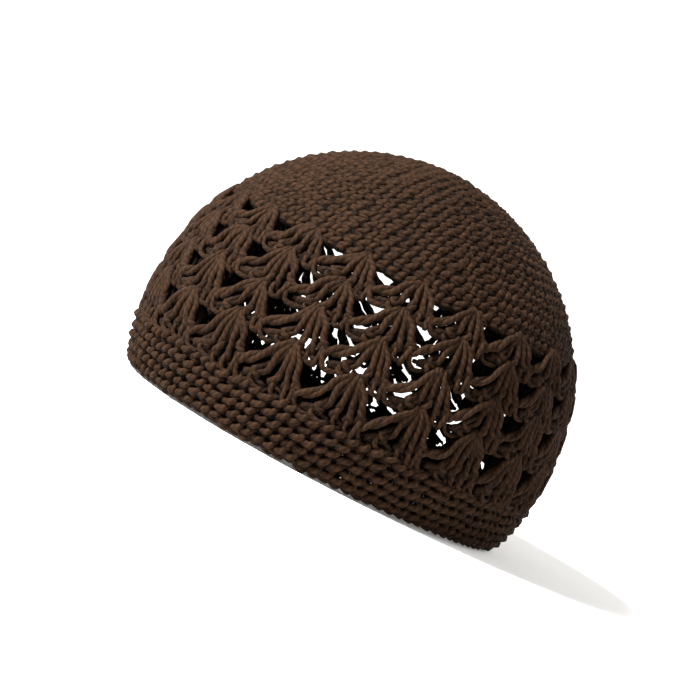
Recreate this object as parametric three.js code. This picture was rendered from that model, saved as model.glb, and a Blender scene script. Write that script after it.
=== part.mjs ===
// A crocheted kufi: a round, brimless cap worked from the crown down in one thick cotton yarn.
// The closed crown is worked in plain rounds, the side below it in rows of open shells with a
// shield-shaped gap between each two, and the rim band in plain rounds again. Each section is a
// wall of crochet as thick as its crossed strands. The cap stands on the flat edge of its rim,
// with the axis of the dome on Z and the centre of the rim at the origin. Lengths are in
// millimetres, and lengths along the wall are measured up the outside, from the rim's edge.
import * as THREE from 'three';
import { mergeVertices } from 'three/addons/utils/BufferGeometryUtils.js';

// The dome
const WIDEST_RADIUS = 95;
const WIDEST_HEIGHT = 31;
const RIM_TUCK = 7.5;
const CAP_HEIGHT = 136;
const SHOULDER_POWER = 2.35;
const CROWN_POWER = 1.9;
const WALL = 4;

// The rim band and its rounds
const BAND_WIDTH = 24;
const BAND_ROUND_WIDTH = 4.8;
const BAND_GROOVE_DEPTH = 0.9;

// The open side: each row of shells is narrower than the one below it, and the columns that the
// shells stand in drift round the cap by a share of a column from each row to the row above.
const SHELL_ROWS = 4;
const LOWEST_ROW_WIDTH = 18.5;
const ROW_WIDTH_LOSS = 1.5;
const SHELL_COLUMNS = 21;
const SHELL_DRIFT = 0.08;

// The gap between two shells. across is counted from the middle of the gap, as a share of the
// width of a column, and up from the lower edge of the row, as a share of the row's width.
const GAP_OUTLINE = [
  { across: 0.0, up: 0.93 },
  { across: 0.25, up: 0.86 },
  { across: 0.2, up: 0.66 },
  { across: 0.13, up: 0.46 },
  { across: 0.07, up: 0.34 },
  { across: 0.0, up: 0.32 },
];

// The crown and its rounds
const CROWN_ROUND_WIDTH = 4.9;
const CROWN_GROOVE_DEPTH = 0.6;

// The clearance between two sections
const SECTION_GAP = 0.3;

// Fineness of the facets
const SIDE_FACETS_PER_COLUMN = 3;
const SIDE_FACETS_PER_ROW = 2;
const CROWN_FACETS_PER_COLUMN = 2;
const MERIDIAN_STEPS = 240;
const INNER_STEP = 12;

// The outline of the dome in half section, from the rim's edge to the top of the crown: a
// parabola where the band tucks in, and a superellipse from the widest part to the top.
// inset moves it inwards everywhere except at the floor.
function meridian(inset) {
  const widest = WIDEST_RADIUS - inset;
  const rise = CAP_HEIGHT - inset - WIDEST_HEIGHT;
  const points = [];
  for (let step = 0; step < MERIDIAN_STEPS; step += 1) {
    const drop = 1 - step / MERIDIAN_STEPS;
    points.push(new THREE.Vector2(widest - RIM_TUCK * drop ** 2, WIDEST_HEIGHT * (1 - drop)));
  }
  for (let step = 0; step <= MERIDIAN_STEPS; step += 1) {
    const turn = (step / MERIDIAN_STEPS) * (Math.PI / 2);
    const out = Math.max(Math.cos(turn), 0) ** (2 / CROWN_POWER);
    const up = Math.sin(turn) ** (2 / SHOULDER_POWER);
    points.push(new THREE.Vector2(widest * out, WIDEST_HEIGHT + rise * up));
  }
  const lengths = [0];
  for (let i = 1; i < points.length; i += 1) {
    lengths.push(lengths[i - 1] + points[i].distanceTo(points[i - 1]));
  }
  return { points, lengths, total: lengths[lengths.length - 1] };
}

const outlines = new Map();

// The point of the wall at a share of the way from the rim's edge to the top, at an inset from
// the outermost surface. The x of the result is its radius and the y is its height.
function wallPoint(share, inset) {
  if (!outlines.has(inset)) outlines.set(inset, meridian(inset));
  const { points, lengths, total } = outlines.get(inset);
  const wanted = Math.min(Math.max(share, 0), 1) * total;
  let upper = 1;
  while (upper < lengths.length - 1 && lengths[upper] < wanted) upper += 1;
  const step = lengths[upper] - lengths[upper - 1];
  const part = step > 0 ? (wanted - lengths[upper - 1]) / step : 0;
  return points[upper - 1].clone().lerp(points[upper], part);
}

const WALL_LENGTH = meridian(0).total;
const BAND_TOP = BAND_WIDTH / WALL_LENGTH;
const SIDE_TOP = (BAND_WIDTH + rowsLength(SHELL_ROWS)) / WALL_LENGTH;
const HALF_GAP = SECTION_GAP / 2 / WALL_LENGTH;

// The length of wall that a number of rows of shells takes up, counted from the lowest.
function rowsLength(rows) {
  return rows * LOWEST_ROW_WIDTH - (ROW_WIDTH_LOSS * rows * (rows - 1)) / 2;
}

// Points along the wall from one share to another, both included, each at its own inset.
function wallPoints(from, to, steps, insetOf) {
  const points = [];
  for (let i = 0; i <= steps; i += 1) {
    points.push(wallPoint(from + ((to - from) * i) / steps, insetOf(i)));
  }
  return points;
}

// A section of plain rounds, turned about Z: outside, each round is a low crest between two
// grooves, and the inside is smooth. The half section of a closed crown starts and ends on the
// axis, and that of a band comes back to its first point.
function roundsGeometry({ from, to, roundWidth, grooveDepth, facets }) {
  const length = (to - from) * WALL_LENGTH;
  const rounds = Math.max(1, Math.round(length / roundWidth));
  const outside = wallPoints(from, to, rounds * 2, (i) => (i % 2 === 0 ? grooveDepth : 0));
  const inside = wallPoints(to, from, Math.max(2, Math.ceil(length / INNER_STEP)), () => WALL);
  let profile = [...outside, ...inside, outside[0].clone()];
  if (to === 1) {
    outside[outside.length - 1].x = 0;
    inside[0].x = 0;
    profile = [...inside, ...outside];
  }
  const geometry = new THREE.LatheGeometry(profile, facets);
  geometry.rotateX(Math.PI / 2);
  return closedSurface(geometry.toNonIndexed());
}

// Joins the corners that meet, so that the surface is closed, and drops facets with no area.
function closedSurface(loose) {
  const bare = new THREE.BufferGeometry();
  bare.setAttribute('position', loose.getAttribute('position'));
  const merged = mergeVertices(bare, 1e-3);
  const kept = [];
  for (let i = 0; i < merged.index.count; i += 3) {
    const corners = [0, 1, 2].map((k) => merged.index.getX(i + k));
    if (new Set(corners).size === 3) kept.push(...corners);
  }
  merged.setIndex(kept);
  merged.computeVertexNormals();
  return merged;
}

// A place on the open side: columns counts shell columns round the cap and starts again after
// a whole turn, rows counts shell rows up from the band, and inset is 0 outside and WALL inside.
function sidePoint(columns, rows, inset) {
  const low = BAND_TOP + HALF_GAP;
  const high = SIDE_TOP - HALF_GAP;
  const share = rowsLength(rows) / rowsLength(SHELL_ROWS);
  const place = wallPoint(low + (high - low) * share, inset);
  const column = columns % SHELL_COLUMNS;
  const turn = ((column + SHELL_DRIFT * rows) / SHELL_COLUMNS) * Math.PI * 2;
  return new THREE.Vector3(place.x * Math.sin(turn), -place.x * Math.cos(turn), place.y);
}

// The edge of one cell of the open side and the edge of the gap in it, as shares of the cell. The
// gap's edge runs clockwise, seen from outside.
function cellOutlines() {
  const [across, up] = [SIDE_FACETS_PER_COLUMN, SIDE_FACETS_PER_ROW];
  const edge = [];
  for (let i = 0; i < across; i += 1) edge.push(new THREE.Vector2(i / across, 0));
  for (let i = 0; i < up; i += 1) edge.push(new THREE.Vector2(1, i / up));
  for (let i = across; i > 0; i -= 1) edge.push(new THREE.Vector2(i / across, 1));
  for (let i = up; i > 0; i -= 1) edge.push(new THREE.Vector2(0, i / up));
  const middle = GAP_OUTLINE.slice(1, -1).reverse();
  const right = GAP_OUTLINE.map((row) => new THREE.Vector2(0.5 + row.across, row.up));
  const left = middle.map((row) => new THREE.Vector2(0.5 - row.across, row.up));
  return { edge, gap: [...right, ...left] };
}

// The facets between the edge of a cell and the edge of its gap, as numbers of corners in the
// two lists joined. It goes once round the middle of the gap, and each facet takes the next
// corner that it meets on either edge.
function ringFacets(edge, gap) {
  const middle = new THREE.Box2().setFromPoints(gap).getCenter(new THREE.Vector2());
  const round = (points, first) => {
    const corners = points.map((point, i) => ({
      corner: first + i,
      turn: Math.atan2(point.y - middle.y, point.x - middle.x),
    }));
    return corners.sort((a, b) => a.turn - b.turn);
  };
  const [outer, inner] = [round(edge, 0), round(gap, edge.length)];
  const cornerAt = (ring, k) => ring[k % ring.length].corner;
  const turnAt = (ring, k) => ring[k % ring.length].turn + Math.floor(k / ring.length) * 2 * Math.PI;
  const facets = [];
  let [i, j] = [0, 0];
  while (i < outer.length || j < inner.length) {
    const outerIsNext = turnAt(outer, i + 1) <= turnAt(inner, j + 1);
    if (j === inner.length || (i < outer.length && outerIsNext)) {
      facets.push([cornerAt(outer, i), cornerAt(outer, i + 1), cornerAt(inner, j)]);
      i += 1;
    } else {
      facets.push([cornerAt(outer, i), cornerAt(inner, j + 1), cornerAt(inner, j)]);
      j += 1;
    }
  }
  return facets;
}

// The open side: a wall with one gap in each cell, made of the outer and the inner face of every
// cell, the walls of every gap, and the two ends.
function openSideGeometry() {
  const { edge, gap } = cellOutlines();
  const flat = [...edge, ...gap];
  const facets = ringFacets(edge, gap);
  const corners = [];
  const face = (...places) => places.forEach((p) => corners.push(p.x, p.y, p.z));
  const strip = (a, b, column, row) => {
    const [outA, outB] = [a, b].map((p) => sidePoint(column + p.x, row + p.y, 0));
    const [inA, inB] = [a, b].map((p) => sidePoint(column + p.x, row + p.y, WALL));
    face(outA, inA, inB);
    face(outA, inB, outB);
  };
  for (let column = 0; column < SHELL_COLUMNS; column += 1) {
    for (let row = 0; row < SHELL_ROWS; row += 1) {
      const outside = flat.map((p) => sidePoint(column + p.x, row + p.y, 0));
      const inside = flat.map((p) => sidePoint(column + p.x, row + p.y, WALL));
      facets.forEach(([a, b, c]) => {
        face(outside[a], outside[b], outside[c]);
        face(inside[a], inside[c], inside[b]);
      });
      gap.forEach((p, i) => strip(p, gap[(i + 1) % gap.length], column, row));
    }
    for (let i = 0; i < SIDE_FACETS_PER_COLUMN; i += 1) {
      const [a, b] = [i, i + 1].map((k) => new THREE.Vector2(k / SIDE_FACETS_PER_COLUMN, 0));
      strip(a, b, column, 0);
      strip(b, a, column, SHELL_ROWS);
    }
  }
  const loose = new THREE.BufferGeometry();
  loose.setAttribute('position', new THREE.Float32BufferAttribute(corners, 3));
  return closedSurface(loose);
}

// Dark brown cotton yarn: matt, with no metal in it.
function yarnMaterial(colour) {
  return new THREE.MeshStandardMaterial({ color: colour, roughness: 0.85, metalness: 0 });
}

function rimBand() {
  const geometry = roundsGeometry({
    from: 0,
    to: BAND_TOP - HALF_GAP,
    roundWidth: BAND_ROUND_WIDTH,
    grooveDepth: BAND_GROOVE_DEPTH,
    facets: SHELL_COLUMNS * SIDE_FACETS_PER_COLUMN,
  });
  const mesh = new THREE.Mesh(geometry, yarnMaterial(0x47362b));
  mesh.name = 'rim_band';
  return mesh;
}

function openSide() {
  const mesh = new THREE.Mesh(openSideGeometry(), yarnMaterial(0x4d3b30));
  mesh.name = 'openwork_side';
  return mesh;
}

function crown() {
  const geometry = roundsGeometry({
    from: SIDE_TOP + HALF_GAP,
    to: 1,
    roundWidth: CROWN_ROUND_WIDTH,
    grooveDepth: CROWN_GROOVE_DEPTH,
    facets: SHELL_COLUMNS * CROWN_FACETS_PER_COLUMN,
  });
  const mesh = new THREE.Mesh(geometry, yarnMaterial(0x503d32));
  mesh.name = 'crown';
  return mesh;
}

const kufi = new THREE.Group();
kufi.name = 'kufi';
kufi.add(crown(), openSide(), rimBand());

export default kufi;
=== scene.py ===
"""A crocheted kufi, dressed in real yarn around its fixed frame.

Every surface is one thick cotton yarn. Each round of crochet is a closed path of yarn, laid out
flat from a short table of the places that the yarn passes in one stitch, bent onto the dome of
the cap and swept into a round tube. Lengths are metres, and places on the cap are given by a
turn round the axis, a length along the wall from the rim, and a distance out of its surface.
"""

import logging
import math
from dataclasses import dataclass, field, replace
from enum import Enum

import bpy
import numpy as np
from mathutils import Matrix, Vector


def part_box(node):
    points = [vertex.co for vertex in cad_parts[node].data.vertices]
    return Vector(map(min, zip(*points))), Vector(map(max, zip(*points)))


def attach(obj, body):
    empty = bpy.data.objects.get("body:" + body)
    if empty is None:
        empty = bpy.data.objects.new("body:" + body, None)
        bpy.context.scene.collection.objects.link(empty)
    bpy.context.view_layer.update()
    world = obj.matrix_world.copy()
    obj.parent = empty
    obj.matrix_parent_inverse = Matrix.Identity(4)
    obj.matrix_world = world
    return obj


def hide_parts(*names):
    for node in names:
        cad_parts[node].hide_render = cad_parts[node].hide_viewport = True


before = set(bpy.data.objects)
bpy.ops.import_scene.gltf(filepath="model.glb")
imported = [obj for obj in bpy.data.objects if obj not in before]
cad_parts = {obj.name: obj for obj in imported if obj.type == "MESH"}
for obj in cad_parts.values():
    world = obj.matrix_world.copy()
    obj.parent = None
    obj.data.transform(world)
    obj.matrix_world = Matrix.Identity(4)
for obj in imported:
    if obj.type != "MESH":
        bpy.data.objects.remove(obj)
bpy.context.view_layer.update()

MM = 0.001
TURN = 2.0 * math.pi
# Width of the square picture in pixels, and of the camera's sensor in mm.
FRAME_PIXELS = 700
SENSOR_WIDTH = 36.0
# Numbers of the Mix node's sockets for its factor, its two colours and its result.
MIX_FACTOR, MIX_A, MIX_B, MIX_RESULT = 0, 6, 7, 2
# A direction that no repeat's first step runs along.
START_ACROSS = (0.31, 0.87, 0.38)
log = logging.getLogger("kufi")


class Node(Enum):
    """The solids of the frame that the yarn stands for."""

    CROWN = "crown"
    SIDE = "openwork_side"
    BAND = "rim_band"


def node_box(node: Node) -> tuple[Vector, Vector]:
    """Gives the lowest and the highest corner of a solid of the frame."""
    low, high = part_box(node.value)
    return Vector(low), Vector(high)


def linear(code: str) -> tuple[float, float, float, float]:
    """Turns an sRGB hex colour into linear light.

    Each channel c becomes c / 12.92 up to 0.04045 and ((c + 0.055) / 1.055) ^ 2.4 past it.

    Args:
        code: Six hex digits.

    Returns:
        Red, green, blue and a full alpha.
    """
    srgb = np.array([int(code[i : i + 2], 16) for i in (0, 2, 4)]) / 255.0
    light = np.where(srgb <= 0.04045, srgb / 12.92, ((srgb + 0.055) / 1.055) ** 2.4)
    return (*light.tolist(), 1.0)


def add_node(
    tree: bpy.types.NodeTree, kind: str, inputs: dict, **settings: object
) -> bpy.types.Node:
    """Adds one node with its settings, values and links.

    Args:
        tree: The node tree that gets the node.
        kind: The node's Blender type.
        inputs: Socket name or number to a value, or to the output socket that feeds it.
        **settings: Properties of the node.

    Returns:
        The new node.
    """
    node = tree.nodes.new(kind)
    for name, value in settings.items():
        setattr(node, name, value)
    for name, value in inputs.items():
        if isinstance(value, bpy.types.NodeSocket):
            tree.links.new(value, node.inputs[name])
        else:
            node.inputs[name].default_value = value
    return node


@dataclass(frozen=True)
class Dome:
    """The outer surface of the cap, a surface of revolution about Z.

    Attributes:
        widest_radius: Radius where the cap is widest.
        cap_height: Height of the crown's centre.
        widest_height: Height of the widest place.
        rim_tuck: How much smaller the rim's radius is.
        shoulder_power: Power of the height in the superellipse above the widest place.
        crown_power: Power of the radius in it.
        steps: Points of the half section on each side of the widest place.
        slope_reach: Length either way over which the wall's slope is taken.
    """

    widest_radius: float
    cap_height: float
    widest_height: float = 31 * MM
    rim_tuck: float = 7.5 * MM
    shoulder_power: float = 2.35
    crown_power: float = 1.9
    steps: int = 1200
    slope_reach: float = 0.5 * MM

    @classmethod
    def of_frame(cls) -> "Dome":
        """Takes the size of the dome from the frame's solids.

        Returns:
            The dome, as wide as the open side and as high as the crown.
        """
        side = node_box(Node.SIDE)[1]
        crown = node_box(Node.CROWN)[1]
        return cls(widest_radius=side.x, cap_height=crown.z)

    def half_section(self) -> tuple[np.ndarray, np.ndarray, np.ndarray]:
        """Works out the half section from the rim to the crown's centre.

        Below the widest place the radius is the widest one less the tuck times the square of the
        drop; above it, radius is cos(q) ^ (2 / crown power) and height sin(q) ^ (2 / shoulder
        power) as q goes from 0 to a quarter turn.

        Returns:
            The length along the wall, the radius and the height, as three arrays.
        """
        drop = np.linspace(1.0, 0.0, self.steps, endpoint=False)
        quarter = np.linspace(0.0, TURN / 4, self.steps)
        rise = self.cap_height - self.widest_height
        radius = np.concatenate([
            self.widest_radius - self.rim_tuck * drop**2,
            self.widest_radius * np.clip(np.cos(quarter), 0, 1) ** (2 / self.crown_power),
        ])
        height = np.concatenate([
            self.widest_height * (1 - drop),
            self.widest_height + rise * np.sin(quarter) ** (2 / self.shoulder_power),
        ])
        step = np.hypot(np.diff(radius), np.diff(height))
        return np.concatenate([[0.0], np.cumsum(step)]), radius, height

    def length(self) -> float:
        """Gives the length along the wall from the rim to the crown's centre."""
        return float(self.half_section()[0][-1])

    def radius_at(self, along: float) -> float:
        """Gives the radius at a length along the wall."""
        lengths, radius, _ = self.half_section()
        return float(np.interp(along, lengths, radius))

    def place(
        self, turn: np.ndarray, along: np.ndarray, out: np.ndarray
    ) -> tuple[np.ndarray, np.ndarray]:
        """Bends flat places onto the dome.

        The point is the surface's point at that turn and length, moved along the surface's
        outward normal. Turn 0 faces -Y and grows towards +X.

        Args:
            turn: Angles round the axis, in radians.
            along: Lengths along the wall from the rim; one below 0 goes straight down.
            out: Distances outwards.

        Returns:
            The points, and for each point three unit rows: to the right, up along the wall, and
            outwards.
        """
        lengths, radius, height = self.half_section()
        inside = np.clip(along, 0.0, lengths[-1])
        r = np.interp(inside, lengths, radius)
        z = np.interp(inside, lengths, height)
        lower = np.clip(inside - self.slope_reach, 0, None)
        upper = np.clip(inside + self.slope_reach, None, lengths[-1])
        slope_r = np.interp(upper, lengths, radius) - np.interp(lower, lengths, radius)
        slope_z = np.interp(upper, lengths, height) - np.interp(lower, lengths, height)
        size = np.hypot(slope_r, slope_z)
        slope_r, slope_z = slope_r / size, slope_z / size
        sin, cos, zero = np.sin(turn), np.cos(turn), np.zeros_like(turn)
        right = np.stack([cos, sin, zero], axis=1)
        up = np.stack([slope_r * sin, -slope_r * cos, slope_z], axis=1)
        outward = np.stack([slope_z * sin, -slope_z * cos, -slope_r], axis=1)
        centre = np.stack([r * sin, -r * cos, z], axis=1)
        points = centre + outward * out[:, None] + up * (along - inside)[:, None]
        return points, np.stack([right, up, outward], axis=1)


@dataclass(frozen=True)
class Yarn:
    """A round strand.

    Attributes:
        radius: Radius of the strand.
        sides: Faces round it.
    """

    radius: float = 1.15 * MM
    sides: int = 6


@dataclass
class Strand:
    """Tubes of yarn that make one piece, gathered before the mesh is made.

    Attributes:
        points: Vertices of each tube.
        faces: Quads of each tube, numbered from the tube's own first vertex.
        maps: Each quad corner's length along the strand in metres and share of the way round it.
        depths: Each vertex's distance outwards as its motif draws it, in yarn radii, which the
        material darkens by as painted shade.
    """

    points: list[np.ndarray] = field(default_factory=list)
    faces: list[np.ndarray] = field(default_factory=list)
    maps: list[np.ndarray] = field(default_factory=list)
    depths: list[np.ndarray] = field(default_factory=list)

    def add_tube(
        self,
        centre: np.ndarray,
        side: np.ndarray,
        radius: np.ndarray,
        depth: np.ndarray,
        sides: int,
    ) -> None:
        """Sweeps a round section along a closed path.

        A point of the tube is the path's point plus radius times (cos a * side + sin a * lift),
        where lift is the path's direction crossed with the side and a goes once round.

        Args:
            centre: Points of the path, the last one next to the first.
            side: A direction across the path at each point; it needn't be square to the path.
            radius: The tube's radius at each point.
            depth: Distance outwards of each point as its motif draws it, in yarn radii.
            sides: Faces round the tube.
        """
        ahead = np.roll(centre, -1, axis=0) - np.roll(centre, 1, axis=0)
        ahead /= np.linalg.norm(ahead, axis=1, keepdims=True)
        square = side - ahead * np.sum(side * ahead, axis=1, keepdims=True)
        square /= np.linalg.norm(square, axis=1, keepdims=True)
        lift = np.cross(ahead, square)
        angle = np.arange(sides) * TURN / sides
        cos, sin = np.cos(angle)[None, :, None], np.sin(angle)[None, :, None]
        ring = cos * square[:, None] + sin * lift[:, None]
        vertices = centre[:, None] + ring * radius[:, None, None]
        count = len(centre)
        i, k = np.meshgrid(np.arange(count), np.arange(sides), indexing="ij")
        j, m = (i + 1) % count, (k + 1) % sides
        quads = np.stack([i * sides + k, i * sides + m, j * sides + m, j * sides + k], axis=-1)
        step = np.linalg.norm(np.roll(centre, -1, axis=0) - centre, axis=1)
        start = np.concatenate([[0.0], np.cumsum(step)])
        here, there = start[:-1][:, None] + 0 * k, start[1:][:, None] + 0 * k
        low, high = k / sides, (k + 1) / sides
        along = np.stack([here, here, there, there], axis=-1)
        around = np.stack([low, high, high, low], axis=-1)
        self.points.append(vertices.reshape(-1, 3))
        self.faces.append(quads.reshape(-1, 4))
        self.maps.append(np.stack([along, around], axis=-1).reshape(-1, 2))
        self.depths.append(np.repeat(depth, sides))

    def triangles(self) -> int:
        """Counts the triangles gathered so far."""
        return 2 * sum(len(faces) for faces in self.faces)

    def to_object(self, name: str) -> bpy.types.Object:
        """Makes one smooth mesh object of all tubes.

        The UV map yarn holds the length along the strand and the share of the way round it, and
        the map depth holds the distance outwards, by which the material paints shade deep in the
        fabric.

        Args:
            name: Name of the object.

        Returns:
            The object.
        """
        offsets = np.cumsum([0] + [len(points) for points in self.points[:-1]])
        points = np.concatenate(self.points)
        faces = np.concatenate([quads + start for quads, start in zip(self.faces, offsets)])
        mesh = bpy.data.meshes.new(name)
        mesh.vertices.add(len(points))
        mesh.vertices.foreach_set("co", points.astype(np.float32).ravel())
        mesh.loops.add(faces.size)
        mesh.loops.foreach_set("vertex_index", faces.astype(np.int32).ravel())
        mesh.polygons.add(len(faces))
        mesh.polygons.foreach_set("loop_start", np.arange(0, faces.size, 4, dtype=np.int32))
        mesh.update(calc_edges=True)
        depths = np.concatenate(self.depths)[faces.ravel()]
        maps = {"yarn": np.concatenate(self.maps), "depth": np.stack([depths, 0 * depths], axis=1)}
        for title, places in maps.items():
            layer = mesh.uv_layers.new(name=title)
            layer.data.foreach_set("uv", places.astype(np.float32).ravel())
        mesh.polygons.foreach_set("use_smooth", np.ones(len(faces), dtype=bool))
        mesh.validate()
        piece = bpy.data.objects.new(name, mesh)
        bpy.context.scene.collection.objects.link(piece)
        return piece


@dataclass(frozen=True)
class Motif:
    """The path of the yarn through one repeat of a round, laid out flat.

    Attributes:
        knots: A row for each place that the yarn passes: across in widths of the repeat, up in
            heights of the round, out in yarn radii, thick as a share of the yarn's radius.
        samples: Rings of the tube in one repeat.
        relief: Share of the drawn depth to which the repeat is worked.
    """

    knots: np.ndarray
    samples: int
    relief: float = 1.0

    def sides_of(self, width: float, height: float, depth: float) -> np.ndarray:
        """Finds a direction across the path at each knot, turning no more than the path does.

        Each direction is the last one with its part along the path taken off. What is left over
        after a whole repeat is spread evenly over it, as a slow turn about the path.

        Args:
            width: Width of the repeat.
            height: Height of the round.
            depth: Length of one step outwards.

        Returns:
            Unit rows, to the right, up and outwards.
        """
        flat = self.knots[:, :3] * np.array([width, height, depth])
        step = np.array([width, 0.0, 0.0])
        before = np.vstack([flat[-1] - step, flat[:-1]])
        after = np.vstack([flat[1:], flat[0] + step])
        ahead = (after - before) / np.linalg.norm(after - before, axis=1, keepdims=True)
        count = len(flat)
        found = [np.cross(ahead[0], START_ACROSS)]
        for i in range(1, count + 1):
            now = ahead[i % count]
            last = found[-1] / np.linalg.norm(found[-1])
            found.append(last - now * (last @ now))
        found = np.array(found)
        found /= np.linalg.norm(found, axis=1, keepdims=True)
        lift = np.cross(ahead[0], found[0])
        left_over = math.atan2(found[count] @ lift, found[count] @ found[0])
        turn = -left_over * np.arange(count) / count
        lifts = np.cross(ahead, found[:count])
        return found[:count] * np.cos(turn)[:, None] + lifts * np.sin(turn)[:, None]

    def round_path(
        self, repeats: int, wander: np.ndarray, size: tuple[float, float, float]
    ) -> tuple[np.ndarray, np.ndarray]:
        """Runs the repeat once round the cap as one smooth closed curve.

        Between four knots a, b, c and d the curve is the Catmull-Rom cubic, half of 2b + (c - a)t
        + (2a - 5b + 4c - d)t^2 + (3b - a - 3c + d)t^3.

        Args:
            repeats: Repeats in the round.
            wander: What is added to each knot's across, up, out and thick, to make no two
                stitches alike.
            size: Width of the repeat, height of the round and length of one step outwards.

        Returns:
            The curve's across, up, out and thick, and its direction across the path.
        """
        count = len(self.knots)
        knots = np.tile(self.knots, (repeats, 1)) + wander
        knots[:, 0] += np.repeat(np.arange(repeats), count)
        sides = np.tile(self.sides_of(*size), (repeats, 1))
        total = len(knots)
        at = np.arange(repeats * self.samples) * count / self.samples
        low = np.floor(at).astype(int)
        t = (at - low)[:, None]
        whole = np.array([repeats, 0.0, 0.0, 0.0])

        def knot(shift: int) -> np.ndarray:
            """Gives the knots at a shift from the low one, going on past the end of the round."""
            number = low + shift
            return knots[number % total] + whole * np.floor_divide(number, total)[:, None]

        a, b, c, d = (knot(shift) for shift in (-1, 0, 1, 2))
        bend = 2 * a - 5 * b + 4 * c - d
        curve = 0.5 * (2 * b + (c - a) * t + bend * t**2 + (3 * b - a - 3 * c + d) * t**3)
        side = sides[low % total] * (1 - t) + sides[(low + 1) % total] * t
        return curve, side


def plain_motif(samples: int, relief: float, fullness: float, chain: float) -> Motif:
    """Lays out one plain stitch, seen with the crown above, worked to the right.

    The yarn rises along the front as a slanting bump from the last stitch to the round above and
    goes through it, down behind as the left leg, round the neck of the stitch, up again as the
    right leg, and through to the front. It comes down to the neck there, and runs out along the
    lower edge and back, as the two strands of the chain that the next round is worked into.

    Args:
        samples: Rings of the tube in one stitch.
        relief: Share of the full depth to which the stitch is worked.
        fullness: How much thicker the yarn lies than drawn here, pressed into the fabric.
        chain: How far out the near strand of the chain lies, in yarn radii.

    Returns:
        The motif.
    """
    rows = [
        (-0.82, 0.40, 0.30, 0.92),
        (-0.60, 0.38, 1.10, 1.06),
        (-0.32, 0.45, 1.45, 1.14),
        (-0.04, 0.60, 1.75, 1.20),
        (0.12, 0.88, 0.60, 0.92),
        (0.02, 1.12, -0.60, 0.84),
        (-0.14, 1.12, -1.10, 1.05),
        (-0.32, 0.74, -1.30, 1.20),
        (-0.42, 0.36, -1.20, 1.20),
        (-0.36, 0.10, -1.00, 1.10),
        (-0.14, 0.00, -0.90, 1.05),
        (0.10, 0.12, -1.00, 1.10),
        (0.20, 0.48, -1.20, 1.20),
        (0.16, 0.88, -1.10, 1.15),
        (0.10, 1.14, -0.60, 0.90),
        (0.10, 1.04, 0.00, 0.90),
        (0.16, 0.70, -0.10, 0.95),
        (0.04, 0.32, -0.10, 0.95),
        (0.06, 0.08, -0.40, 0.95),
        (0.34, -0.04, -0.80, 1.00),
        (0.74, -0.04, -0.80, 1.00),
        (1.02, 0.04, chain - 0.80, 0.84),
        (0.78, 0.06, chain, 0.90),
        (0.42, 0.10, chain, 0.90),
    ]
    return Motif(np.array(rows) * np.array([1.0, 1.0, 1.0, fullness]), samples, relief)


def edging_motif(samples: int) -> Motif:
    """Lays out one slip stitch of the rim's edge.

    The yarn runs slanting along the front of the edge, round under it, up behind into the first
    round, and through to the front, from where it comes down to the next stitch.

    Args:
        samples: Rings of the tube in one stitch.

    Returns:
        The motif.
    """
    rows = [
        (0.00, 0.14, 1.00, 0.84),
        (0.32, 0.05, 1.25, 0.98),
        (0.66, -0.02, 1.00, 0.94),
        (0.92, 0.00, 0.00, 0.84),
        (0.84, 0.16, -0.90, 0.84),
        (0.62, 0.42, -0.90, 0.84),
        (0.66, 0.48, 0.40, 0.80),
        (0.86, 0.30, 0.95, 0.84),
    ]
    return Motif(np.array(rows), samples)


# How one side of a shell's loop lies at its four places below the knot: aside, in halves of the
# distance between the sides, and ahead, in swells, with the other side opposite; and how far both
# sides sink, in yarn radii.
WINDING = ((0.9, 0.7, 0.0), (-0.5, 0.9, 0.0), (-0.6, -0.7, 0.0), (1.0, 0.0, 0.3))
SIDE_THICK = 1.10


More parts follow.
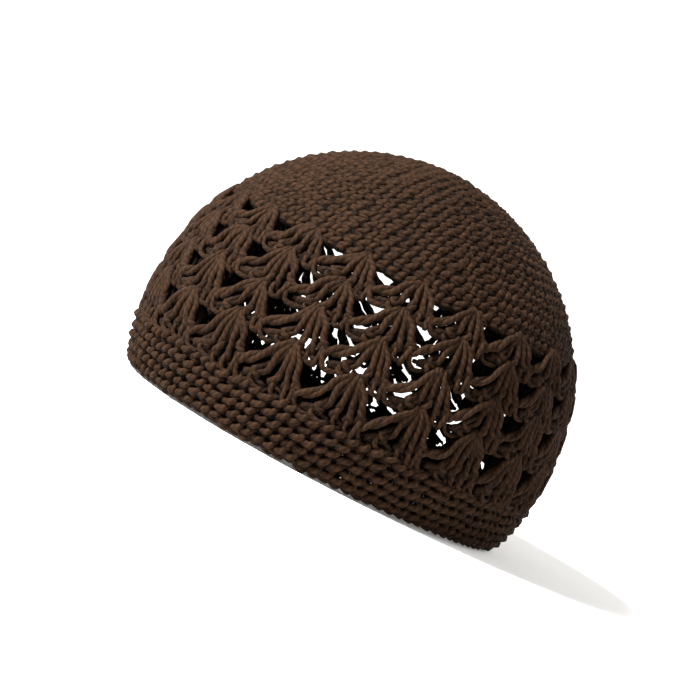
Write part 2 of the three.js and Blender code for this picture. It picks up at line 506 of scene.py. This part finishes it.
@dataclass(frozen=True)
class Leg:
    """One long loop of a shell, from the narrow knot where it hangs to its spread tip.

    Attributes:
        down: Places across and up that the yarn passes on its way down to the tip.
        back: Places across and up of the other side, also from the knot to the tip.
        front: How far out the sides lie, in yarn radii.
        swell: How far the two sides stand in front of and behind each other, in yarn radii.
        squeeze: Share of their distance across at which the two sides lie.
    """

    down: tuple[tuple[float, float], ...]
    back: tuple[tuple[float, float], ...]
    front: float
    swell: float = 0.6
    squeeze: float = 1.05

    @property
    def tip(self) -> tuple[float, float]:
        """The place across and up half-way between the ends of the two sides."""
        return self.halves()[-1]

    def halves(self) -> list[tuple[float, float]]:
        """Lists the places half-way between the two sides, from the knot to the tip."""
        return [((a[0] + b[0]) / 2, (a[1] + b[1]) / 2) for a, b in zip(self.down, self.back)]

    def shifted(self, by: float) -> "Leg":
        """Gives the same loop further along the round."""
        moved = [tuple((across + by, up) for across, up in side) for side in (self.down, self.back)]
        return replace(self, down=moved[0], back=moved[1])

    def side(self, hand: float) -> list[tuple[float, ...]]:
        """Lists the places of one side, which winds once round the other from knot to tip.

        Args:
            hand: 1 for the side on the way down, -1 for the other.

        Returns:
            Rows of across, up, out and thick, from the knot to the tip.
        """
        rows = []
        places = zip(self.down[1:], self.back[1:], self.halves()[1:], WINDING)
        for a, b, (across, up), (aside, ahead, sink) in places:
            half = [hand * aside * self.squeeze * (end - other) / 2 for end, other in zip(a, b)]
            out = self.front + hand * ahead * self.swell - sink
            rows.append((across + half[0], up + half[1], out, SIDE_THICK))
        return rows

    def rows(self, coming: float) -> list[tuple[float, ...]]:
        """Lists the places that the yarn passes in the loop and in the edge link after it.

        The yarn goes up behind to the knot, over the round above, down one side, round the tip
        and up the other, over the round above again and down behind, and closes the tip.

        Args:
            coming: Place across where the link ends.

        Returns:
            Rows of across, up, out and thick.
        """
        first, last, front = self.down[0][0], self.back[0][0], self.front
        halves = self.halves()
        across, up = self.tip
        beyond = tuple(0.5 * (end - before) for end, before in zip(halves[-1], halves[-2]))
        return [
            (across, up + 0.02, -0.9, 0.80),
            (*halves[3], -1.6, 0.80),
            (*halves[1], -1.6, 0.80),
            (first, 1.14, -0.8, 0.76),
            (first, 1.24, 0.3, 0.76),
            (first, 1.12, front + 0.4, 0.82),
            *self.side(1.0),
            (across + beyond[0], up + beyond[1], front - 0.9, 0.82),
            *reversed(self.side(-1.0)),
            (last, 1.12, front + 0.2, 0.82),
            (last, 1.24, 0.2, 0.76),
            (last, 1.13, -0.9, 0.80),
            (*halves[2], -1.6, 0.80),
            (across, up + 0.03, -0.4, 0.82),
            (across + 0.004, up + 0.01, 0.9, 0.86),
            (across + 0.014, up - 0.08, 1.5, 0.90),
            *edge_rows(across, coming),
        ]


def edge_rows(neck: float, coming: float) -> list[tuple[float, ...]]:
    """Lists the places of a chain link along the lower edge, out in front and back behind.

    Args:
        neck: Place across where the link starts.
        coming: Place across where it ends.

    Returns:
        Rows of across, up, out and thick.
    """
    reach = coming - neck
    return [
        (neck + 0.30 * reach, 0.00, 1.1, 0.92),
        (neck + 0.60 * reach, -0.04, 1.0, 0.98),
        (neck + 0.90 * reach, -0.02, 0.7, 0.92),
        (coming + 0.010, 0.05, 0.2, 0.82),
        (neck + 0.70 * reach, 0.12, 0.4, 0.88),
        (neck + 0.30 * reach, 0.14, -0.1, 0.88),
    ]


def link_rows(neck: float, coming: float) -> list[tuple[float, ...]]:
    """Lists the places of a stretched chain link: behind to its neck, then out and back.

    Args:
        neck: Place across where the link starts.
        coming: Place across where it ends.

    Returns:
        Rows of across, up, out and thick.
    """
    reach = coming - neck
    return [
        (neck - 0.25 * reach, 0.10, -1.0, 0.76),
        (neck - 0.02 * reach, 0.08, -0.4, 0.76),
        (neck + 0.10 * reach, 0.02, 0.6, 0.76),
        (neck + 0.45 * reach, -0.06, 0.8, 0.82),
        (neck + 0.86 * reach, 0.00, 0.5, 0.80),
        (coming + 0.012, 0.08, 0.1, 0.76),
        (neck + 0.86 * reach, 0.16, 0.4, 0.80),
        (neck + 0.45 * reach, 0.20, 0.3, 0.82),
        (neck + 0.12 * reach, 0.15, -0.3, 0.80),
    ]


SWEEPING_LEGS = (
    Leg(
        down=((-0.110, 1.10), (-0.245, 0.88), (-0.390, 0.63), (-0.530, 0.46), (-0.660, 0.40)),
        back=((-0.090, 1.10), (-0.200, 0.80), (-0.320, 0.53), (-0.455, 0.33), (-0.600, 0.25)),
        front=1.3,
    ),
    Leg(
        down=((-0.070, 1.10), (-0.145, 0.78), (-0.235, 0.46), (-0.340, 0.25), (-0.450, 0.12)),
        back=((-0.045, 1.10), (-0.075, 0.77), (-0.105, 0.50), (-0.135, 0.33), (-0.165, 0.18)),
        front=1.1,
    ),
)
HANGING_LEGS = (
    Leg(
        down=((-0.025, 1.10), (-0.005, 0.80), (0.030, 0.55), (0.055, 0.36), (0.060, 0.20)),
        back=((-0.005, 1.10), (0.030, 0.80), (0.020, 0.55), (-0.010, 0.36), (-0.025, 0.21)),
        front=0.9,
    ),
    Leg(
        down=((0.020, 1.10), (0.110, 0.82), (0.165, 0.60), (0.170, 0.42), (0.170, 0.24)),
        back=((0.010, 1.10), (0.075, 0.80), (0.130, 0.58), (0.190, 0.40), (0.235, 0.27)),
        front=1.0,
    ),
    Leg(
        down=((0.040, 1.10), (0.205, 0.88), (0.265, 0.68), (0.270, 0.50), (0.300, 0.34)),
        back=((0.030, 1.10), (0.155, 0.85), (0.240, 0.66), (0.320, 0.54), (0.375, 0.42)),
        front=1.2,
    ),
)
# Place across of the link between a shell's sweeping loops and its hanging ones.
MIDDLE_LINK = -0.055


def shell_motif(samples: int) -> Motif:
    """Lays out one column of an openwork round, which starts in the middle of a shell.

    A shell is five long loops that hang close together at the top and spread to their tips, with
    one link in its middle. The left two sweep out under the gap beside the shell, and the right
    three hang steeper. The two sides of each loop wind once round each other. The column has the
    hanging loops of one shell and the sweeping loops of the next.

    Args:
        samples: Rings of the tube in one column.

    Returns:
        The motif.
    """
    legs = [*HANGING_LEGS, *(leg.shifted(1.0) for leg in SWEEPING_LEGS)]
    ends = [leg.tip[0] for leg in legs[1:]] + [1.0 + MIDDLE_LINK]
    rows = link_rows(MIDDLE_LINK, legs[0].tip[0])
    for leg, end in zip(legs, ends):
        rows += leg.rows(end)
    return Motif(np.array(rows), samples)


@dataclass(frozen=True)
class CottonYarn:
    """Cotton, spun and plied into a thick soft yarn and dyed dark brown.

    It gives the eye a matt brown with next to no sheen and slanting grooves between its plies.
    Shade is painted into its colour: a little darker in the grooves, and deeper where strands lie
    behind others.

    Attributes:
        name: Name of the material.
        colour: Colour of the strand's outside.
        groove: Darker colour painted between the plies, as the shade in the groove.
        roughness: Roughness of the fibre.
        specular: Share of the fibre's plain shine.
        sheen: Share of light that its fuzz sends back at a low angle.
        sheen_roughness: Spread of that light.
        sheen_tint: Colour of that light.
        lay: Length in which a ply goes once round the strand, drawn a little long to show.
        plies: Plies in the strand.
        groove_depth: Depth of the groove between two plies.
        groove_strength: Share of that depth that shows.
        patch: Size of the patches that took the dye unevenly.
        patch_noise: Values of the patches' noise between which their share of the colour grows.
        patch_tones: Least and greatest share of the colour in the patches.
        shade: Share of the colour left where the shade painted deep in the fabric is darkest.
        lit: Drawn distance outwards, in yarn radii, past which no shade is painted on the colour.
    """

    name: str = "dark brown cotton yarn"
    colour: str = "291a0f"
    # Painted shade: the grooves between the plies are coloured darker, as if in shade.
    groove: str = "1b110a"
    roughness: float = 0.78
    specular: float = 0.04
    sheen: float = 0.01
    sheen_roughness: float = 0.5
    sheen_tint: str = "b08a6c"
    lay: float = 5.6 * MM
    plies: int = 2
    groove_depth: float = 0.12 * MM
    groove_strength: float = 0.8
    patch: float = 9.0 * MM
    patch_noise: tuple[float, float] = (0.3, 0.7)
    patch_tones: tuple[float, float] = (0.82, 1.12)
    # Painted shade: strands that lie deep in the fabric get a darker colour.
    shade: float = 0.14
    lit: float = 1.5

    def ply_height(self, tree: bpy.types.NodeTree) -> bpy.types.NodeSocket:
        """Adds the plies: half of 1 + cos(plies * turn * (length / lay + share of the way round)).

        Args:
            tree: The material's node tree.

        Returns:
            The socket that gives 1 on a ply's back and 0 in the groove, which drives the bump
            and the shade painted in the groove.
        """
        uv = add_node(tree, "ShaderNodeUVMap", {}, uv_map="yarn")
        parts = add_node(tree, "ShaderNodeSeparateXYZ", {0: uv.outputs["UV"]})
        length, round_share = parts.outputs["X"], parts.outputs["Y"]
        lays = {0: length, 1: 1.0 / self.lay}
        turns = add_node(tree, "ShaderNodeMath", lays, operation="MULTIPLY")
        both = {0: turns.outputs[0], 1: round_share}
        share = add_node(tree, "ShaderNodeMath", both, operation="ADD")
        cycles = {0: share.outputs[0], 1: TURN * self.plies}
        phase = add_node(tree, "ShaderNodeMath", cycles, operation="MULTIPLY")
        wave = add_node(tree, "ShaderNodeMath", {0: phase.outputs[0]}, operation="COSINE")
        span = {"Value": wave.outputs[0], "From Min": -1.0, "From Max": 1.0}
        half = add_node(tree, "ShaderNodeMapRange", span | {"To Min": 0.0, "To Max": 1.0})
        return half.outputs[0]

    def dye_and_painted_shade(self, tree: bpy.types.NodeTree) -> bpy.types.NodeSocket:
        """Adds the uneven dye, times a painted shade that deepens from the lit distance inwards.

        Args:
            tree: The material's node tree.

        Returns:
            The socket that gives the share of the colour, with the painted shade in it.
        """
        place = add_node(tree, "ShaderNodeTexCoord", {}).outputs["Object"]
        grain = {"Vector": place, "Scale": 1.0 / self.patch, "Detail": 2.0, "Roughness": 0.5}
        patches = add_node(tree, "ShaderNodeTexNoise", grain).outputs["Fac"]
        (low, high), (least, greatest) = self.patch_noise, self.patch_tones
        span = {"Value": patches, "From Min": low, "From Max": high}
        dye = add_node(tree, "ShaderNodeMapRange", span | {"To Min": least, "To Max": greatest})
        # Painted shade: the colour darkens to the shade share as the drawn depth falls from the lit
        # distance to 0.
        uv = add_node(tree, "ShaderNodeUVMap", {}, uv_map="depth")
        depth = add_node(tree, "ShaderNodeSeparateXYZ", {0: uv.outputs["UV"]}).outputs["X"]
        span = {"Value": depth, "From Min": 0.0, "From Max": self.lit}
        light = add_node(tree, "ShaderNodeMapRange", span | {"To Min": self.shade, "To Max": 1.0})
        both = {0: dye.outputs[0], 1: light.outputs[0]}
        return add_node(tree, "ShaderNodeMath", both, operation="MULTIPLY").outputs[0]

    def material(self) -> bpy.types.Material:
        """Builds the material on the yarn's own maps.

        Returns:
            The material.
        """
        material = bpy.data.materials.new(self.name)
        material.use_nodes = True
        tree = material.node_tree
        tree.nodes.clear()
        height = self.ply_height(tree)
        # Painted shade in the ply grooves: the colour mixes towards the darker groove colour there.
        colours = {MIX_FACTOR: height, MIX_A: linear(self.groove), MIX_B: linear(self.colour)}
        plied = add_node(tree, "ShaderNodeMix", colours, data_type="RGBA")
        # The colour with the painted groove shade, times the uneven dye and the shade painted deep in
        # the fabric.
        product = {MIX_FACTOR: 1.0, MIX_A: plied.outputs[MIX_RESULT], MIX_B: self.dye_and_painted_shade(tree)}
        colour_with_painted_shade = add_node(tree, "ShaderNodeMix", product, data_type="RGBA", blend_type="MULTIPLY")
        groove = {"Height": height, "Strength": self.groove_strength, "Distance": self.groove_depth}
        bump = add_node(tree, "ShaderNodeBump", groove)
        fibre = {
            "Base Color": colour_with_painted_shade.outputs[MIX_RESULT],
            "Roughness": self.roughness,
            "Specular IOR Level": self.specular,
            "Sheen Weight": self.sheen,
            "Sheen Roughness": self.sheen_roughness,
            "Sheen Tint": linear(self.sheen_tint),
            "Normal": bump.outputs[0],
        }
        shader = add_node(tree, "ShaderNodeBsdfPrincipled", fibre)
        add_node(tree, "ShaderNodeOutputMaterial", {0: shader.outputs[0]})
        return material


@dataclass(frozen=True)
class HandWork:
    """How uneven the crochet is, as work by hand is, so that no two stitches are alike.

    Attributes:
        wander: How far a place on the yarn may stray.
        furthest: Spreads at which a draw is cut off.
        shared: Neighbouring draws that are averaged for each place's stray.
        pull: How far uneven tension may pull whole stitches.
        strength: Factor on the mean of the tension's waves.
        waves: Waves in the tension.
        crests: Fewest crests of a wave in a whole turn, and one more than the most.
        rise_mm: Least and greatest height in mm over which a wave's phase grows by a radian.
        settle: Length along the wall from the rim in which the pull grows to its full size.
        seed: Start of the random draws.
    """

    wander: float = 0.40 * MM
    furthest: float = 2.0
    shared: int = 3
    pull: float = 0.8 * MM
    strength: float = 1.6
    waves: int = 5
    crests: tuple[int, int] = (5, 34)
    rise_mm: tuple[float, float] = (4.0, 11.0)
    settle: float = 12 * MM
    seed: int = 7

    def stray(self, places: int, size: np.ndarray, number: int) -> np.ndarray:
        """Draws how far each place on the yarn strays.

        It is the wander over the size, times the mean of neighbouring normal draws.

        Args:
            places: Places that the yarn passes in the round.
            size: What one unit of across, up, out and thick measures.
            number: Number of the round in its piece.

        Returns:
            Rows of across, up, out and thick.
        """
        draws = np.random.default_rng(self.seed + number)
        loose = draws.normal(size=(places, len(size))).clip(-self.furthest, self.furthest)
        mixed = sum(np.roll(loose, shift, axis=0) for shift in range(self.shared))
        return self.wander / size * mixed / self.shared

    def tension(self, turn: np.ndarray, along: np.ndarray) -> tuple[np.ndarray, np.ndarray]:
        """Finds how far uneven tension pulls each place to the right and up.

        Both are the pull times the strength times the mean of the waves sin(n * turn + along /
        length + phase), with a whole number n for each wave, so that they meet after a turn.

        Args:
            turn: Angles round the axis.
            along: Lengths along the wall.

        Returns:
            Lengths to the right and up.
        """
        draws = np.random.default_rng(self.seed)
        shape = (2, self.waves)
        crests = draws.integers(*self.crests, size=shape)
        lengths = draws.uniform(*self.rise_mm, size=shape) * MM * draws.choice([-1, 1], size=shape)
        phases = draws.uniform(0, TURN, size=shape)
        fade = np.clip(along / self.settle, 0, 1) * self.pull
        sums = [
            sum(np.sin(n * turn + along / length + phase) for n, length, phase in zip(*kind))
            for kind in zip(crests, lengths, phases)
        ]
        right, up = (fade * total / self.waves * self.strength for total in sums)
        return right, up


@dataclass(frozen=True)
class Round:
    """Where one round of crochet lies.

    Attributes:
        repeats: Repeats in the round.
        edge: Length along the wall of its lower edge.
        height: Height of the round.
        start: Repeats by which it is turned.
        lean: Repeats by which its top is turned further than its lower edge.
    """

    repeats: int
    edge: float
    height: float
    start: float
    lean: float = 0.0


@dataclass
class Crochet:
    """What all sections of the cap share: the dome, the yarn, its finish and its unevenness.

    Attributes:
        dome: The surface that the rounds are bent onto.
        yarn: The strand.
        material: Its material.
        hand: Its unevenness.
        sink: Depth of the middle of the wall under the dome's surface.
        closing: Length along the wall that the yarn leaves free at the crown's centre.
        plain_turn: Stitches by which each plain round is turned from the one below.
    """

    dome: Dome
    yarn: Yarn
    material: bpy.types.Material
    hand: HandWork = HandWork()
    sink: float = 2.3 * MM
    closing: float = 0.3 * MM
    plain_turn: float = 0.35

    def lay_round(self, strand: Strand, motif: Motif, lie: Round) -> None:
        """Lays one round of crochet on the dome as a closed tube of yarn.

        A place's turn is (across + start + lean * up) / repeats of a whole turn, its length along
        the wall edge + up * height, and its depth out * radius * relief - sink. The stray and the
        tension of work by hand are added.

        Args:
            strand: Gathers the tube.
            motif: One repeat of the round.
            lie: Where the round lies.
        """
        radius = self.yarn.radius
        middle = self.dome.radius_at(lie.edge + lie.height / 2)
        width = TURN * middle / lie.repeats
        size = np.array([width, lie.height, radius, 2 * radius])
        stray = self.hand.stray(lie.repeats * len(motif.knots), size, len(strand.points))
        step_out = radius * motif.relief
        curve, side = motif.round_path(lie.repeats, stray, (width, lie.height, step_out))
        across, up, out, thick = curve.T
        turn = (across + lie.start + lie.lean * up) / lie.repeats * TURN
        along = lie.edge + up * lie.height
        right, higher = self.hand.tension(turn, along)
        turn = turn + right / middle
        along = np.minimum(along + higher, self.dome.length() - self.closing)
        points, basis = self.dome.place(turn, along, out * step_out - self.sink)
        across_path = np.einsum("nk,nkx->nx", side, basis)
        strand.add_tube(points, across_path, thick * radius, out, self.yarn.sides)

    def finish_piece(self, strand: Strand, name: str, node: Node) -> None:
        """Makes a piece of the gathered tubes, dresses it, ties it to the root and hides its solid.

        Args:
            strand: The tubes.
            name: Name of the piece.
            node: The solid that it replaces.
        """
        piece = strand.to_object(name)
        piece.data.materials.append(self.material)
        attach(piece, "root")
        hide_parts(node.value)
        log.info("%s: %d triangles", name, strand.triangles())


@dataclass
class RimBand:
    """The dense band at the rim: an edging that stands on the floor, and plain rounds above it.

    Attributes:
        crochet: What all sections share.
        width: Width of the band along the wall.
        rounds: Plain rounds in it.
        stitches: Stitches in a round.
        edging: Length along the wall that the edging takes below them.
        foot: Length along the wall at which the edging's places start, which stands it on the
            floor.
        edging_start: Stitches by which the edging is turned.
    """

    crochet: Crochet
    width: float = 24 * MM
    rounds: int = 5
    stitches: int = 108
    edging: float = 2.1 * MM
    foot: float = 1.55 * MM
    edging_start: float = 0.2

    def build(self) -> None:
        """Lays the edging and the rounds above it."""
        strand = Strand()
        height = (self.width - self.edging) / self.rounds
        lie = Round(self.stitches, self.foot, height, self.edging_start)
        self.crochet.lay_round(strand, edging_motif(samples=10), lie)
        motif = plain_motif(samples=28, relief=1.0, fullness=1.08, chain=0.7)
        for number in range(self.rounds):
            edge, start = self.edging + number * height, self.crochet.plain_turn * number
            self.crochet.lay_round(strand, motif, Round(self.stitches, edge, height, start))
        self.crochet.finish_piece(strand, "rim_band_rounds", Node.BAND)


@dataclass
class OpenSide:
    """The open side: rounds of shells, with a gap between each two.

    Attributes:
        crochet: What all sections share.
        start: Length along the wall of the lowest round's edge.
        rounds: Rounds of shells.
        lowest_height: Height of the lowest round.
        loss: How much lower each round is than the one below.
        columns: Shells in a round.
        drift: Columns by which each round is turned from the one below.
    """

    crochet: Crochet
    start: float = 24 * MM
    rounds: int = 4
    lowest_height: float = 18.5 * MM
    loss: float = 1.5 * MM
    columns: int = 21
    drift: float = 0.08

    def edge(self, number: int) -> float:
        """Length along the wall of a round's lower edge, numbered from 0."""
        return self.start + number * self.lowest_height - self.loss * number * (number - 1) / 2

    def build(self) -> None:
        """Lays the rounds of shells as two pieces, one above the other."""
        motif = shell_motif(samples=320)
        half = self.rounds // 2
        pieces = {"lower_shells": range(half), "upper_shells": range(half, self.rounds)}
        for name, numbers in pieces.items():
            strand = Strand()
            for number in numbers:
                edge, start = self.edge(number), self.drift * number
                height = self.edge(number + 1) - edge
                lie = Round(self.columns, edge, height, start, lean=self.drift)
                self.crochet.lay_round(strand, motif, lie)
            self.crochet.finish_piece(strand, name, Node.SIDE)


@dataclass
class Crown:
    """The closed crown: plain rounds that lose stitches towards the centre.

    Attributes:
        crochet: What all sections share.
        start: Length along the wall of the crown's lower edge.
        round_height: Height of a round, before it is fitted to a whole number of rounds.
        stitch_width: Width of a stitch, before it is fitted to a whole number in each round.
        fewest: Stitches in the first round, at the centre.
        outer: Rounds in the outer piece.
        middle: Rounds in the middle piece.
    """

    crochet: Crochet
    start: float
    round_height: float = 4.9 * MM
    stitch_width: float = 4.4 * MM
    fewest: int = 7
    outer: int = 5
    middle: int = 6

    def build(self) -> None:
        """Lays the rounds as three pieces, from the lower edge to the centre."""
        dome = self.crochet.dome
        length = dome.length() - self.start
        rounds = round(length / self.round_height)
        height = length / rounds
        motif = plain_motif(samples=26, relief=0.38, fullness=1.10, chain=1.3)
        bounds = (0, self.outer, self.outer + self.middle, rounds)
        names = ("crown_outer", "crown_middle", "crown_centre")
        for name, first, end in zip(names, bounds, bounds[1:]):
            strand = Strand()
            for number in range(first, end):
                edge, start = self.start + number * height, self.crochet.plain_turn * number
                girth = TURN * dome.radius_at(edge + height / 2)
                stitches = max(self.fewest, round(girth / self.stitch_width))
                self.crochet.lay_round(strand, motif, Round(stitches, edge, height, start))
            self.crochet.finish_piece(strand, name, Node.CROWN)


@dataclass(frozen=True)
class BackdropPaper:
    """White paper, which gives the eye an even matt ground that takes soft shadows.

    Attributes:
        name: Name of the material.
        colour: Colour of the paper.
        roughness: Roughness of its surface.
        specular: Share of its plain shine.
        own_light: Strength of the white light that it gives by itself, as on a lit table.
    """

    name: str = "white paper backdrop"
    colour: str = "f7f6f4"
    roughness: float = 0.9
    specular: float = 0.1
    own_light: float = 0.1

    def material(self) -> bpy.types.Material:
        """Builds the material.

        Returns:
            The material.
        """
        material = bpy.data.materials.new(self.name)
        material.use_nodes = True
        shader = material.node_tree.nodes["Principled BSDF"]
        shader.inputs["Base Color"].default_value = linear(self.colour)
        shader.inputs["Roughness"].default_value = self.roughness
        shader.inputs["Specular IOR Level"].default_value = self.specular
        shader.inputs["Emission Color"].default_value = linear("ffffff")
        shader.inputs["Emission Strength"].default_value = self.own_light
        return material


@dataclass(frozen=True)
class Backdrop:
    """A pale floor that curves up into a backdrop on every side, far from the cap.

    Attributes:
        paper: Its finish.
        inner: Radii of the rings between the middle and the bend.
        flat: Radius where the floor starts to bend up.
        bend: Length that the square of the distance past it is divided by, for the height.
        reach: Radius of the outer edge.
        rings: Rings from the bend's start to the edge.
        sides: Points in a ring.
    """

    paper: BackdropPaper = BackdropPaper()
    inner: tuple[float, ...] = (0.3, 0.8)
    flat: float = 1.2
    bend: float = 1.6
    reach: float = 4.0
    rings: int = 24
    sides: int = 96

    def build(self) -> None:
        """Adds the floor, whose height is 0 out to the flat radius.

        Beyond, it is the square of the distance past that radius, over the bend length.
        """
        turns = np.linspace(0, TURN, self.sides, endpoint=False)
        radii = np.concatenate([self.inner, np.linspace(self.flat, self.reach, self.rings)])
        heights = np.clip(radii - self.flat, 0, None) ** 2 / self.bend
        ring = np.stack([np.sin(turns), -np.cos(turns), 0 * turns], axis=1)
        upright = np.array([0, 0, 1.0])
        points = (radii[:, None, None] * ring[None]) + heights[:, None, None] * upright
        i, k = np.meshgrid(np.arange(len(radii) - 1), np.arange(self.sides), indexing="ij")
        here, there, m = i * self.sides, (i + 1) * self.sides, (k + 1) % self.sides
        quads = np.stack([here + k, there + k, there + m, here + m], axis=-1)
        centre = list(range(self.sides))
        mesh = bpy.data.meshes.new("floor")
        mesh.from_pydata(points.reshape(-1, 3).tolist(), [], quads.reshape(-1, 4).tolist() + [centre])
        mesh.polygons.foreach_set("use_smooth", np.ones(len(mesh.polygons), dtype=bool))
        mesh.materials.append(self.paper.material())
        floor = bpy.data.objects.new("floor", mesh)
        bpy.context.scene.collection.objects.link(floor)


@dataclass(frozen=True)
class SoftLight:
    """A square soft light that points at the cap.

    Attributes:
        name: Name of the light.
        direction: Shares of the camera's right, of up, and towards the camera.
        distance: Distance from the cap.
        size: Side of the square.
        watts: Its power.
        aim_height: Height of the point on the axis that it points at.
    """

    name: str
    direction: tuple[float, float, float]
    distance: float
    size: float
    watts: float
    aim_height: float = 0.06

    def build(self, azimuth: float) -> None:
        """Adds the light.

        Args:
            azimuth: Turn of the camera round the cap, in radians.
        """
        sin, cos = math.sin(azimuth), math.cos(azimuth)
        right, up, flat = Vector((cos, -sin, 0.0)), Vector((0.0, 0.0, 1.0)), Vector((sin, cos, 0.0))
        aside, above, near = self.direction
        way = (right * aside + up * above - flat * near).normalized()
        data = bpy.data.lights.new(self.name, "AREA")
        data.size = self.size
        data.energy = self.watts
        light = bpy.data.objects.new(self.name, data)
        light.location = way * self.distance + up * self.aim_height
        light.rotation_euler = way.to_track_quat("Z", "Y").to_euler()
        bpy.context.scene.collection.objects.link(light)


@dataclass(frozen=True)
class Studio:
    """The floor, the lights and the camera.

    Attributes:
        azimuth: Turn of the camera round the cap, in degrees.
        elevation: Angle of the camera above the floor, in degrees.
        roll: Lean of the cap in the picture, in degrees to the right.
        distance: Distance from the camera to the cap's middle.
        lens: Focal length in mm.
        nearest: Distance from which the camera sees.
        centre_pixel: Where the middle of the cap's outline stands in the picture.
        outline_grid: Turns and lengths on the dome that its outline is taken from.
        aim_steps: Times that the aim is corrected.
        surround: Strength of the white surround.
        lights: The lights.
    """

    azimuth: float = 0.0
    elevation: float = 2.6
    roll: float = 27.64
    distance: float = 0.95
    lens: float = 113.6
    nearest: float = 0.05
    centre_pixel: tuple[float, float] = (352.0, 351.0)
    outline_grid: tuple[int, int] = (73, 60)
    aim_steps: int = 4
    surround: float = 0.2
    lights: tuple[SoftLight, ...] = (
        SoftLight("key", (-1.05, 1.1, 0.6), distance=1.3, size=0.25, watts=86.0),
        SoftLight("fill", (0.9, 0.35, 0.8), distance=1.6, size=1.0, watts=0.8),
        SoftLight("back", (1.0, 1.0, -0.7), distance=1.6, size=1.0, watts=11.0),
    )

    def axes(self) -> tuple[Vector, Vector, Vector]:
        """Works out the camera's directions.

        Returns:
            Its right, up and forward, after its roll.
        """
        turn, rise, lean = (math.radians(a) for a in (self.azimuth, self.elevation, self.roll))
        level = math.cos(rise)
        forward = Vector((math.sin(turn) * level, math.cos(turn) * level, -math.sin(rise)))
        right = Vector((math.cos(turn), -math.sin(turn), 0.0))
        up = right.cross(forward)
        leaning_right = right * math.cos(lean) + up * math.sin(lean)
        leaning_up = up * math.cos(lean) - right * math.sin(lean)
        return leaning_right, leaning_up, forward

    def aim(self, dome: Dome) -> Vector:
        """Finds the point to look at, so that the cap's outline is centred on its pixel.

        The outline's middle is half the sum of the dome's least and greatest reach to the right
        and upwards, seen from the camera.

        Args:
            dome: The cap's surface.

        Returns:
            The point at the camera's distance.
        """
        right, up, forward = (np.array(axis) for axis in self.axes())
        columns, rows = self.outline_grid
        grid = np.meshgrid(np.linspace(0, TURN, columns), np.linspace(0, dome.length(), rows))
        turns, lengths = (places.ravel() for places in grid)
        points, _ = dome.place(turns, lengths, np.zeros(turns.size))
        target = np.array([0.0, 0.0, dome.cap_height / 2])
        pixels = self.lens / SENSOR_WIDTH * FRAME_PIXELS
        want_x = (self.centre_pixel[0] - FRAME_PIXELS / 2) / pixels
        want_y = (FRAME_PIXELS / 2 - self.centre_pixel[1]) / pixels
        for _ in range(self.aim_steps):
            seen = points - (target - forward * self.distance)
            depth = seen @ forward
            x, y = seen @ right / depth, seen @ up / depth
            target = target + right * ((x.min() + x.max()) / 2 - want_x) * self.distance
            target = target + up * ((y.min() + y.max()) / 2 - want_y) * self.distance
        return Vector(target)

    def add_camera(self, dome: Dome) -> None:
        """Sets up the camera.

        Args:
            dome: The cap's surface, which it points at.
        """
        right, up, forward = self.axes()
        camera = bpy.data.objects.new("camera", bpy.data.cameras.new("camera"))
        camera.data.lens = self.lens
        camera.data.sensor_width = SENSOR_WIDTH
        camera.data.clip_start = self.nearest
        turned = Matrix((right, up, -forward)).transposed().to_4x4()
        camera.matrix_world = Matrix.Translation(self.aim(dome) - forward * self.distance) @ turned
        bpy.context.scene.collection.objects.link(camera)
        bpy.context.scene.camera = camera

    def add_world(self) -> None:
        """Adds an even white surround, and shows all colours as they are, with no film look."""
        world = bpy.data.worlds.new("white surround")
        world.use_nodes = True
        background = world.node_tree.nodes["Background"]
        background.inputs["Color"].default_value = linear("ffffff")
        background.inputs["Strength"].default_value = self.surround
        bpy.context.scene.world = world
        bpy.context.scene.view_settings.view_transform = "Standard"

    def build(self, dome: Dome) -> None:
        """Builds the whole studio.

        Args:
            dome: The cap's surface, which the camera points at.
        """
        self.add_camera(dome)
        Backdrop().build()
        for light in self.lights:
            light.build(math.radians(self.azimuth))
        self.add_world()


def main() -> None:
    """Builds the studio and the three sections of the cap."""
    logging.basicConfig(level=logging.INFO, format="%(name)s: %(message)s")
    dome = Dome.of_frame()
    Studio().build(dome)
    crochet = Crochet(dome, Yarn(), CottonYarn().material())
    RimBand(crochet).build()
    side = OpenSide(crochet)
    side.build()
    Crown(crochet, start=side.edge(side.rounds)).build()


if __name__ == "__main__":
    main()
